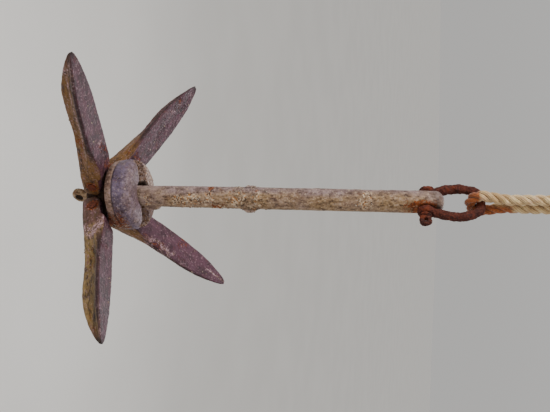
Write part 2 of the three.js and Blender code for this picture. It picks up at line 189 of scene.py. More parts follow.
def store_masks(mesh, masks):
    for name, values in masks.items():
        layer = mesh.attributes.new(name, "FLOAT", "POINT")
        layer.data.foreach_set("value", np.clip(values, 0, 1).astype(np.float32))


def shade_smooth(mesh):
    mesh.polygons.foreach_set("use_smooth", np.ones(len(mesh.polygons), bool))


class Skin:
    """A mesh's points, normals and edges as arrays, with masks stored back on the mesh."""

    def __init__(self, mesh):
        self.mesh = mesh
        self.count = len(mesh.vertices)
        flat = np.zeros(self.count * 3)
        mesh.vertices.foreach_get("co", flat)
        self.p = flat.reshape(-1, 3)
        pairs = np.zeros(len(mesh.edges) * 2, np.int64)
        mesh.edges.foreach_get("vertices", pairs)
        self.a, self.b = pairs.reshape(-1, 2).T
        self.degree = np.bincount(np.r_[self.a, self.b], minlength=self.count).clip(1)
        self.measure()

    def measure(self):
        """Puts the points on the mesh and reads its normals back."""
        flat = np.zeros(self.count * 3)
        self.mesh.vertices.foreach_set("co", self.p.ravel())
        self.mesh.update()
        self.mesh.vertices.foreach_get("normal", flat)
        self.n = flat.reshape(-1, 3)

    def spread(self, values, times):
        """Each value moved towards its neighbours' mean, `times` over."""
        v = values.reshape(self.count, -1).astype(float)
        for _ in range(times):
            mean = np.empty_like(v)
            for k in range(v.shape[1]):
                mean[:, k] = np.bincount(self.a, v[self.b, k], self.count)
                mean[:, k] += np.bincount(self.b, v[self.a, k], self.count)
            v = 0.3 * v + 0.7 * mean / self.degree[:, None]
        return v.reshape(values.shape)

    def smooth(self, times):
        self.p = self.spread(self.p, times)
        self.measure()

    def bulge(self, times):
        """How far each point stands out of its surroundings, in metres: ridges +, grooves -."""
        return np.einsum("ij,ij->i", self.p - self.spread(self.p, times), self.n)

    def push(self, distance):
        """Moves each point out along its normal, by metres."""
        self.p = self.p + self.n * distance[:, None]
        self.measure()

    def store_run(self, run):
        """Coordinates that are short along the piece's length, so that marks on it are drawn out."""
        layer = self.mesh.attributes.new("run", "FLOAT_VECTOR", "POINT")
        layer.data.foreach_set("vector", run.astype(np.float32).ravel())

    def store(self, **masks):
        store_masks(self.mesh, masks)
        shade_smooth(self.mesh)


def mesh_from(name, points, faces):
    mesh = bpy.data.meshes.new(name)
    mesh.from_pydata([tuple(p) for p in points], [], [tuple(f) for f in faces])
    shade_smooth(mesh)
    mesh.update()
    return mesh


class Heap:
    """Meshes gathered into one, with a value for each point in every named layer."""

    def __init__(self):
        self.points, self.faces, self.layers, self.count = [], [], {}, 0

    def add(self, points, faces, layers):
        self.points.append(points)
        self.faces += [tuple(i + self.count for i in face) for face in faces]
        for name, values in layers.items():
            self.layers.setdefault(name, []).append(values)
        self.count += len(points)

    def gathered(self):
        layers = {name: np.concatenate(values) for name, values in self.layers.items()}
        return np.vstack(self.points), self.faces, layers


# ---- materials -----------------------------------------------------

MIX_A, MIX_B, MIX_RESULT = 6, 7, 2  # a Mix node's sockets for colours


def linear(red, green, blue):
    """A colour given as it looks, from 0 to 255, as light."""
    made = []
    for c in (red, green, blue):
        c /= 255
        made.append(c / 12.92 if c <= 0.04045 else ((c + 0.055) / 1.055) ** 2.4)
    return (*made, 1)


class Paint:
    """A node material built up layer by layer over the object's own coordinates."""

    def __init__(self, name, roughness, metallic):
        self.material = bpy.data.materials.new(name)
        self.material.use_nodes = True
        self.tree = self.material.node_tree
        self.shader = self.tree.nodes["Principled BSDF"]
        self.shader.inputs["Roughness"].default_value = roughness
        self.shader.inputs["Metallic"].default_value = metallic
        self.place = self.add("ShaderNodeTexCoord").outputs["Object"]
        self.bumps = None
        self.colour = None

    def add(self, kind, **settings):
        node = self.tree.nodes.new(kind)
        for key, value in settings.items():
            setattr(node, key, value)
        return node

    def put(self, value, socket):
        """Links a node's output to the socket, or sets the socket to a plain value."""
        if hasattr(value, "is_output"):
            self.tree.links.new(value, socket)
        else:
            socket.default_value = value

    def mask(self, name):
        """One of the masks stored on the mesh."""
        return self.add("ShaderNodeAttribute", attribute_name=name).outputs["Fac"]

    def noise(self, size, detail=4.0, rough=0.6, place=None, warp=0.0):
        """Noise from about 0.3 to 0.7 whose features are `size` metres across."""
        node = self.add("ShaderNodeTexNoise")
        self.put(self.place if place is None else place, node.inputs["Vector"])
        node.inputs["Scale"].default_value = 1 / size
        node.inputs["Detail"].default_value = detail
        node.inputs["Roughness"].default_value = rough
        node.inputs["Distortion"].default_value = warp
        return node.outputs["Fac"]

    def cells(self, size):
        """A random colour for each cell of `size` metres."""
        node = self.add("ShaderNodeTexVoronoi")
        self.put(self.place, node.inputs["Vector"])
        node.inputs["Scale"].default_value = 1 / size
        return node.outputs["Color"]

    def span(self, value, low, high, to_low=0.0, to_high=1.0):
        """The value from `low` to `high`, taken smoothly to `to_low` and `to_high`."""
        node = self.add("ShaderNodeMapRange", interpolation_type="SMOOTHSTEP")
        self.put(value, node.inputs["Value"])
        ends = {"From Min": low, "From Max": high, "To Min": to_low, "To Max": to_high}
        for key, number in ends.items():
            node.inputs[key].default_value = number
        return node.outputs["Result"]

    def calculate(self, kind, a, b):
        node = self.add("ShaderNodeMath", operation=kind, use_clamp=True)
        self.put(a, node.inputs[0])
        self.put(b, node.inputs[1])
        return node.outputs[0]

    def sum(self, a, b):
        return self.calculate("ADD", a, b)

    def product(self, a, b):
        return self.calculate("MULTIPLY", a, b)

    def blend(self, share, a, b):
        node = self.add("ShaderNodeMix", data_type="RGBA")
        self.put(share, node.inputs[0])
        self.put(a, node.inputs[MIX_A])
        self.put(b, node.inputs[MIX_B])
        return node.outputs[MIX_RESULT]

    def coat(self, share, colour):
        """Lays a colour over what is there, as far as `share` says."""
        self.colour = self.blend(share, self.colour, colour)

    def bump(self, height, depth, strength):
        """Adds relief `depth` metres deep to the relief that is there."""
        node = self.add("ShaderNodeBump")
        node.inputs["Strength"].default_value = strength
        node.inputs["Distance"].default_value = depth
        self.put(height, node.inputs["Height"])
        if self.bumps is not None:
            self.put(self.bumps, node.inputs["Normal"])
        self.bumps = node.outputs["Normal"]

    def done(self, roughness=None):
        self.put(self.colour, self.shader.inputs["Base Color"])
        if roughness is not None:
            self.put(roughness, self.shader.inputs["Roughness"])
        if self.bumps is not None:
            self.put(self.bumps, self.shader.inputs["Normal"])
        return self.material


SPECKLE = 0.26  # how strongly single flecks show
SCALE_BROWN = linear(74, 56, 42)
SCALE_DARK = linear(66, 42, 30)


def zinc_paint(name, cool, tan, streaks, lime, ochre):
    """Old grey zinc in lilac and tan, with rust and lime over it; the tan is partly painted warm bounce
    light on faces turned from the light, and the lilac partly painted cool key light.
    Each colour but ochre is a pair, dark then light."""
    paint = Paint(name, 0.62, 0.1)
    paint.shader.inputs["Specular IOR Level"].default_value = 0.35
    blotch = paint.noise(0.011, 6, 0.68, warp=0.7)
    run = paint.add("ShaderNodeAttribute", attribute_name="run").outputs["Vector"]
    streak = paint.noise(0.0030, 5, 0.7, run)
    stain = paint.noise(0.006, 5, 0.7)
    grain = paint.noise(0.0012, 3, 0.75)
    fine = paint.noise(0.0021, 3, 0.7)
    tiles = paint.add("ShaderNodeSeparateColor")
    paint.put(paint.cells(0.0013), tiles.inputs[0])
    light_tile, dark_tile, ochre_tile = tiles.outputs
    rust_mask, lime_mask = paint.mask("rust"), paint.mask("lime")

    # the metal: blotches, tan that is partly painted warm bounce light, streaks along the piece, brown
    # stains, and edges rubbed bright by wear, with a painted highlight on the flukes
    paint.colour = paint.blend(paint.span(blotch, 0.36, 0.64), *cool)
    paint.coat(paint.mask("tan"), paint.blend(paint.span(streak, 0.38, 0.6), *tan))
    paint.coat(paint.span(streak, 0.54, 0.68, 0, 0.7), streaks[1])
    paint.coat(paint.span(streak, 0.46, 0.35, 0, 0.8), streaks[0])
    paint.coat(paint.span(stain, 0.54, 0.68, 0, 0.4), linear(92, 50, 34))
    wear_and_highlight = paint.product(paint.mask("edge"), paint.span(blotch, 0.3, 0.6, 0.35, 0.95))
    paint.coat(wear_and_highlight, streaks[1])

    # rust, with a broken edge
    rust_shape = paint.sum(rust_mask, paint.span(fine, 0.35, 0.66, -0.3, 0.24))
    rust = paint.blend(paint.span(grain, 0.36, 0.62), linear(66, 28, 14), linear(146, 72, 22))
    paint.coat(paint.span(rust_shape, 0.3, 0.7, 0, 0.95), rust)

    # lime: a broken film, brown where it is rough, and scales of three colours
    lime_shape = paint.sum(lime_mask, paint.span(fine, 0.36, 0.64, -0.36, 0.3))
    film = paint.blend(paint.span(grain, 0.38, 0.6), *lime)
    paint.coat(paint.span(lime_shape, 0.3, 0.74, 0, 0.72), film)
    paint.coat(paint.product(lime_mask, paint.span(fine, 0.47, 0.38, 0, 0.6)), SCALE_BROWN)
    scaly = paint.span(lime_mask, 0.12, 0.6, 0, 0.75)
    scales = (
        (dark_tile, 0.66, 0.72, lime[1]),
        (dark_tile, 0.34, 0.28, SCALE_DARK),
        (ochre_tile, 0.74, 0.8, ochre),
    )
    for tile, low, high, colour in scales:
        paint.coat(paint.product(scaly, paint.span(tile, low, high)), colour)

    # single flecks, then the dark mask: painted shade in grooves, creases, recesses, bores and
    # undersides, and darker pits
    paint.coat(paint.span(light_tile, 0.84, 0.95, 0, SPECKLE), lime[1])
    paint.coat(paint.span(dark_tile, 0.14, 0.05, 0, SPECKLE + 0.1), linear(44, 30, 28))
    paint.coat(paint.mask("dark"), linear(24, 13, 9))
    paint.bump(paint.noise(0.0028, 4, 0.6), 0.0006, 0.7)
    paint.bump(grain, 0.00034, 0.9)
    return paint.done(paint.span(paint.sum(grain, rust_mask), 0.3, 1.1, 0.5, 0.92))


def iron_paint(name, dark, light, bright):
    """Bare iron gone to thick scaly rust."""
    paint = Paint(name, 0.88, 0.0)
    paint.shader.inputs["Specular IOR Level"].default_value = 0.25
    blotch = paint.noise(0.007, 5, 0.65, warp=0.8)
    grain = paint.noise(0.0014, 4, 0.7)
    paint.colour = paint.blend(paint.span(blotch, 0.36, 0.64), dark, light)
    paint.coat(paint.span(grain, 0.5, 0.68, 0, 0.7), bright)
    paint.coat(paint.span(grain, 0.44, 0.3, 0, 0.8), linear(26, 11, 9))
    paint.coat(paint.mask("rust"), linear(118, 50, 18))
    paint.coat(paint.product(paint.mask("edge"), 0.4), linear(104, 66, 60))
    # painted shade in creases, in the shackle's bore and on the rivets' shanks inside the fork
    paint.coat(paint.mask("dark"), linear(18, 8, 7))
    paint.bump(paint.noise(0.003, 5, 0.65), 0.0008, 0.8)
    paint.bump(grain, 0.0004, 0.9)
    return paint.done(paint.span(blotch, 0.3, 0.7, 0.78, 0.96))


def rope_paint(name):
    """Weathered laid rope: pale yarns with painted shade in the grooves between the yarns and where the
    strands lie together, and rust soaked in near the shackle.
    """
    paint = Paint(name, 0.9, 0.0)
    paint.shader.inputs["Sheen Weight"].default_value = 0.25
    blotch = paint.noise(0.012, 4, 0.6, warp=0.5)
    fine = paint.noise(0.0007, 3, 0.7)
    pinkish, greenish = paint.noise(0.008, 3, 0.6), paint.noise(0.0062, 3, 0.6)
    pale = paint.span(blotch, 0.36, 0.64)
    paint.colour = paint.blend(pale, linear(180, 148, 104), linear(222, 196, 150))
    paint.coat(paint.span(pinkish, 0.54, 0.72, 0, 0.6), linear(198, 164, 142))
    paint.coat(paint.span(greenish, 0.56, 0.7, 0, 0.5), linear(176, 164, 106))
    # painted shade in the grooves between the yarns
    paint.coat(paint.mask("yarn"), linear(146, 114, 74))
    soak = paint.sum(paint.mask("rust"), paint.span(blotch, 0.3, 0.7, -0.2, 0.2))
    stain = paint.blend(paint.span(fine, 0.4, 0.62), linear(82, 32, 6), linear(176, 88, 20))
    paint.coat(paint.span(soak, 0.2, 0.75, 0, 0.96), stain)
    # painted shade where the strands lie against each other
    paint.coat(paint.mask("dark"), linear(86, 56, 30))
    paint.bump(fine, 0.0003, 0.7)
    return paint.done()


def shell_paint(name):
    """Small barnacles: bone-white plates with painted shade at the foot and in the mouth."""
    paint = Paint(name, 0.8, 0.0)
    fine = paint.noise(0.0009, 3, 0.65)
    dirt = paint.noise(0.01, 3, 0.6)
    clean = paint.span(fine, 0.35, 0.65)
    paint.colour = paint.blend(clean, linear(124, 102, 84), linear(182, 166, 150))
    paint.coat(paint.span(dirt, 0.54, 0.7, 0, 0.5), linear(120, 86, 56))
    # painted shade at the foot and in the mouth
    paint.coat(paint.mask("dark"), linear(52, 38, 30))
    paint.bump(fine, 0.0002, 0.6)
    return paint.done()


# ---- rope ----------------------------------------------------------

ROPE_R = 4.6 * MM
KNOT_Z = (PINS_LOW + 424) * MM
KNOT_HALF = 16 * MM
CROWN_Z = (PINS_LOW + 346.5) * MM  # the middle of the turn round the shackle's crown
TURN_R = 8.9 * MM
PARTS_APART = 5.0 * MM  # half the distance between the rope's two parts
CURVE_STEP = 1.2 * MM
CURVE_SAMPLES = 24


def through(points):
    """A smooth curve through the points, at even steps, and its length."""
    q = np.array(points, float)
    ends = np.vstack([2 * q[0] - q[1], q, 2 * q[-1] - q[-2]])
    made = []
    for k in range(len(q) - 1):
        p0, p1, p2, p3 = ends[k : k + 4]
        t = np.linspace(0, 1, CURVE_SAMPLES, endpoint=False)[:, None]
        lean_in = (p2 - p0) / 2
        lean_out = (p3 - p1) / 2
        h00, h10 = 2 * t**3 - 3 * t**2 + 1, t**3 - 2 * t**2 + t
        h01, h11 = -2 * t**3 + 3 * t**2, t**3 - t**2
        made.append(h00 * p1 + h10 * lean_in + h01 * p2 + h11 * lean_out)
    line = np.vstack([*made, q[-1:]])
    gone = run_along(line)
    at = np.linspace(0, gone[-1], max(int(gone[-1] / CURVE_STEP), 8))
    return np.stack([np.interp(at, gone, line[:, k]) for k in range(3)], axis=1), gone[-1]


def run_along(line):
    """How far along the line each of its points lies."""
    return np.r_[0, np.cumsum(np.linalg.norm(np.diff(line, axis=0), axis=1))]


def carried_frame(line):
    """Tangents and two side directions that turn as little as possible along the line."""
    tangent = np.gradient(line, axis=0)
    tangent /= np.linalg.norm(tangent, axis=1)[:, None]
    side = np.zeros_like(line)
    start = np.cross(tangent[0], (1.0, 0.0, 0.0))
    if np.linalg.norm(start) < 0.1:
        start = np.cross(tangent[0], (0.0, 1.0, 0.0))
    side[0] = start / np.linalg.norm(start)
    for k in range(1, len(line)):
        s = side[k - 1] - tangent[k] * np.dot(side[k - 1], tangent[k])
        side[k] = s / np.linalg.norm(s)
    return tangent, side, np.cross(tangent, side)


def tube(line, radii, sides):
    """Points and faces of a tube whose radius is given at every ring and side."""
    _, u, v = carried_frame(line)
    angle = np.linspace(0, 2 * math.pi, sides, endpoint=False)[None, :]
    ring = u[:, None] * np.cos(angle)[..., None] + v[:, None] * np.sin(angle)[..., None]
    points = (line[:, None] + ring * radii[..., None]).reshape(-1, 3)
    faces = ring_faces(len(line), sides)
    last = (len(line) - 1) * sides
    faces.append(tuple(reversed(range(sides))))
    faces.append(tuple(last + j for j in range(sides)))
    return points, faces


def ring_faces(rings, sides):
    """The four-sided faces between closed rings of points, one ring after another."""
    faces = []
    for i in range(rings - 1):
        low, high = i * sides, (i + 1) * sides
        for j in range(sides):
            k = (j + 1) % sides
            faces.append((low + j, low + k, high + k, high + j))
    return faces


STRANDS = 3
STRAND_SIDES = 30
STRAND_PLACE = 0.52  # of the rope's radius
STRAND_R = 0.495
YARNS = 8
YARN_DEPTH = 0.055
LAY_LENGTH = 27 * MM
HAIR_RADII = np.array([[0.09] * 3, [0.075] * 3, [0.03] * 3]) * MM


def laid_rope(line, radius, seed, hairs_per_mm):
    """Three strands laid round the line, each twisted of yarns, with a few loose fibres."""
    rng = np.random.default_rng(seed)
    _, u, v = carried_frame(line)
    gone = run_along(line)
    heap = Heap()
    for strand in range(STRANDS):
        turn = 2 * math.pi * (gone / LAY_LENGTH + strand / STRANDS)
        wander = 0.05 * np.sin(gone / 0.011 + strand * 2.1)
        axis = u * np.cos(turn)[:, None] + v * np.sin(turn)[:, None]
        middle = line + axis * (radius * STRAND_PLACE * (1 + wander))[:, None]
        angle = np.linspace(0, 2 * math.pi, STRAND_SIDES, endpoint=False)
        twist = -2 * math.pi * gone / (LAY_LENGTH * 0.8)
        lobe = np.cos(YARNS * angle[None, :] + YARNS * twist[:, None] * 0.5)
        points, faces = tube(middle, radius * STRAND_R * (1 + YARN_DEPTH * lobe), STRAND_SIDES)
        reach = np.linalg.norm((points - np.repeat(line, STRAND_SIDES, axis=0)) / radius, axis=1)
        # painted shade: the grooves between the yarns, and the strands' inner sides where they lie
        # together
        yarn = np.clip(-lobe, 0, 1).ravel() ** 2
        heap.add(points, faces, {"yarn": yarn, "dark": 1 - ease(0.42, 0.86, reach)})
    for _ in range(int(hairs_per_mm * gone[-1] / MM)):
        k = int(rng.integers(2, len(line) - 2))
        a = rng.uniform(0, 2 * math.pi)
        out = u[k] * math.cos(a) + v[k] * math.sin(a)
        run = (line[k + 1] - line[k]) / np.linalg.norm(line[k + 1] - line[k])
        lean = run * rng.choice([-1, 1]) * rng.uniform(0.6, 1.6)
        lean = lean + np.cross(run, out) * rng.uniform(-1, 1)
        root = line[k] + out * radius * 0.82
        reach = rng.uniform(0.8, 1.9) * MM
        bend = root + (out * 0.6 + lean * 0.5) * reach
        tip = root + (out * 0.75 + lean * 1.2) * reach
        points, faces = tube(np.array([root, bend, tip]), HAIR_RADII, 3)
        heap.add(points, faces, {"yarn": np.zeros(len(points)), "dark": np.zeros(len(points))})
    return heap.gathered()


def rope_mesh(name, parts, paint):
    """One mesh of several laid ropes, with rust soaked in where it bears on the shackle."""
    heap = Heap()
    for part in parts:
        heap.add(*part)
    points, faces, layers = heap.gathered()
    mesh = mesh_from(name, points, faces)
    skin = Skin(mesh)
    up = (skin.p[:, 2] - CROWN_Z) / MM
    # the rust soaks up the side that lies low in the picture
    low_side = ease(-0.003, 0.005, skin.p[:, 0] * 0.75 + skin.p[:, 1] * 0.66)
    near_crown = 1 - ease(5, 20, up + 5 * fbm(skin.p, 0.009, 5))
    wicked_up = 0.85 * (1 - ease(18, 42, up + 9 * fbm(skin.p, 0.008, 9)))
    soak = highest(near_crown * (0.3 + 0.7 * low_side), wicked_up * low_side, 1.0 - ease(-5, 2, up))
    skin.store(yarn=layers["yarn"], dark=layers["dark"] * 0.8, rust=soak)
    mesh.materials.append(paint)
    return mesh


def both_sides(side, between=()):
    """A route in the YZ plane: down or up one side, and back on the other."""
    one = [(0, y, z) for y, z in side]
    other = [(0, -y, z) for y, z in reversed(side)]
    return [*one, *between, *other]


def rope_route():
    bottom = KNOT_Z - KNOT_HALF
    side = [
        (PARTS_APART, bottom - 0.3 * MM),
        (PARTS_APART, bottom - 12 * MM),
        (PARTS_APART, bottom - 26 * MM),
        (5.1 * MM, CROWN_Z + 20 * MM),
        (6.9 * MM, CROWN_Z + 10 * MM),
        (TURN_R, CROWN_Z + 1 * MM),
    ]
    for degrees in (-26, -52, -78):
        a = math.radians(degrees)
        side.append((TURN_R * math.cos(a), CROWN_Z + TURN_R * math.sin(a)))
    return both_sides(side)


def loop_route():
    top = ROPE_R
    low = KNOT_Z + KNOT_HALF
    side = [
        (5.4 * MM, low + 0.3 * MM),
        (5.4 * MM, low + 3 * MM),
        (6.2 * MM, low + 7 * MM),
        (9.2 * MM, low + 14 * MM),
        (10.8 * MM, top - 15 * MM),
        (10.2 * MM, top - 8 * MM),
        (6.4 * MM, top - 2 * MM),
    ]
    return both_sides(side, [(0, 0, top)])


KNOT_R = ROPE_R * 0.94  # the rope is drawn tight in the knot
KNOT_TURNS = 3.1
KNOT_ACROSS = 12.6 * MM
KNOT_THROUGH = 8.6 * MM


def knot_routes():
    """The two parts that pass through, and the turns that jam them."""
    low, high = KNOT_Z - KNOT_HALF - 2 * MM, KNOT_Z + KNOT_HALF + 2 * MM
    places = ((PARTS_APART, low), (4.5 * MM, KNOT_Z), (5.4 * MM, high))
    routes = [[(0, side * y, z) for y, z in places] for side in (-1, 1)]
    turns = []
    count = int(KNOT_TURNS * 16)
    for k in range(count + 1):
        share = k / count
        a = 2 * math.pi * KNOT_TURNS * share
        end = min(share, 1 - share) * count / 5
        pull = 0.55 + 0.45 * min(end, 1)  # both ends of the turns are tucked in
        z = KNOT_Z + (share - 0.5) * 2 * (KNOT_HALF - ROPE_R * 0.98)
        turns.append((KNOT_THROUGH * pull * math.cos(a), KNOT_ACROSS * pull * math.sin(a), z))
    return [*routes, turns]


rope_white = rope_paint("weathered_rope")


def rope_piece(name, parts, node):
    return link_mesh(name, rope_mesh(name, parts, rope_white), "hanger", "rope_fibre", node)


rope_line, rope_length = through(rope_route())
loop_line, loop_length = through(loop_route())
knot_lines = [through(route)[0] for route in knot_routes()]
laid = laid_rope(rope_line, ROPE_R, SEED, hairs_per_mm=2.2)
rope = rope_piece("laid_rope", [laid], "rope")
laid = laid_rope(loop_line, ROPE_R, SEED + 1, hairs_per_mm=1.6)
end_loop = rope_piece("laid_end_loop", [laid], "rope_end_loop")
jammed = [laid_rope(line, KNOT_R, SEED + 2 + k, hairs_per_mm=1.2) for k, line in enumerate(knot_lines)]
knot = rope_piece("laid_knot", jammed, "rope_knot")

# ---- stage ---------------------------------------------------------

FLOOR_Z = -1.15
FLOOR_HALF = 60.0
HORIZON = 0.50
ZENITH = 0.76
SKY_TOP = 0.8  # how high the sky's gradient reaches
ANCHOR_MIDDLE = Vector((0, 0, -0.33))


def make_floor():
    corners = [(x * FLOOR_HALF, y * FLOOR_HALF, FLOOR_Z) for x, y in ((-1, -1), (1, -1), (1, 1), (-1, 1))]
    floor = bpy.data.objects.new("floor", mesh_from("floor", corners, [(0, 1, 2, 3)]))
    scene.collection.objects.link(floor)
    pale = Paint("pale_floor", 0.9, 0.0)
    pale.shader.inputs["Specular IOR Level"].default_value = 0.1
    mottle = pale.span(pale.noise(0.4, 2, 0.5), 0.3, 0.7)
    pale.colour = pale.blend(mottle, linear(222, 219, 214), linear(226, 223, 218))
    floor.data.materials.append(pale.done())


def make_sky():
    world = bpy.data.worlds.new("studio")
    world.use_nodes = True
    nodes, links = world.node_tree.nodes, world.node_tree.links
    height = nodes.new("ShaderNodeSeparateXYZ")
    links.new(nodes.new("ShaderNodeTexCoord").outputs["Generated"], height.inputs[0])
    climb = nodes.new("ShaderNodeMapRange")
    climb.interpolation_type = "SMOOTHSTEP"
    climb.inputs["From Max"].default_value = SKY_TOP
    links.new(height.outputs["Z"], climb.inputs["Value"])
    sky = nodes.new("ShaderNodeMix")
    sky.data_type = "RGBA"
    sky.inputs[MIX_A].default_value = (HORIZON, HORIZON * 0.985, HORIZON * 0.96, 1)
    sky.inputs[MIX_B].default_value = (ZENITH, ZENITH, ZENITH, 1)
    links.new(climb.outputs["Result"], sky.inputs[0])
    links.new(sky.outputs[MIX_RESULT], nodes["Background"].inputs["Color"])
    scene.world = world


def lamp(name, towards, distance, size, power, colour):
    """A soft square light that faces the middle of the anchor."""
    direction = Vector(towards).normalized()
    data = bpy.data.lights.new(name, "AREA")
    data.size = size
    data.energy = power
    data.color = colour
    light = bpy.data.objects.new(name, data)
    light.location = ANCHOR_MIDDLE + direction * distance
    light.rotation_euler = direction.to_track_quat("Z", "Y").to_euler()
    scene.collection.objects.link(light)


make_floor()
make_sky()
lamp("key", (-0.25, -0.75, 0.62), distance=1.3, size=0.55, power=17, colour=(1.0, 0.98, 0.95))
lamp("fill", (0.9, -0.1, 0.15), distance=1.5, size=1.0, power=4, colour=(1.0, 0.93, 0.84))
lamp("rim", (-0.6, 0.9, 0.5), distance=1.5, size=0.8, power=8, colour=(0.93, 0.96, 1.0))

# ---- flukes --------------------------------------------------------

PIN_CIRCLE = 24.3 * MM
FLUKES = {  # turn about the shank and rise above the horizontal, in degrees
    "front": (-90, 12.7),
    "right": (0, 21.6),
    "back": (90, 37.1),
    "left": (180, 19.7),
}
FLUKE_VOXEL = 0.55 * MM
# in millimetres, by how far along the blade from the pin: the palm's face, and half its width
PALM_FACE = (
    [25, 32, 46, 60, 85, 100, 115, 127, 136, 144.5],
    [11.4, 10.6, 9, 7.6, 6.2, 5.2, 4.4, 3.6, 2.8, 1.6],
)
HALF_WIDTH = (
    [25, 32, 46, 60, 85, 100, 115, 126, 135, 141, 144.5],
    [12.5, 13.4, 14.6, 15.2, 15, 13.8, 11.5, 9.1, 6.7, 4.6, 2.2],
)
PALM_THICK = 4.6
FORK_SLOT_HALF = 5.4
FORK_FREE = 9  # from here out the root is clear of the crown
HEAD_OUT = 12.2  # where a rivet's head stands out of the fork


def fluke_seed(name):
    return SEED + FLUKES[name][0] % 97


def fluke_axes(turn, rise):
    """The pin's middle, and the directions along the blade, across it and out of its face."""
    t, r = math.radians(turn), math.radians(rise)
    out = np.array([math.cos(t), math.sin(t), 0])
    up = np.array([0, 0, 1.0])
    along = out * math.cos(r) + up * math.sin(r)
    face = -out * math.sin(r) + up * math.cos(r)
    across = np.array([-math.sin(t), math.cos(t), 0])
    pin = out * PIN_CIRCLE + up * PINS_Z
    return pin, along, across, face


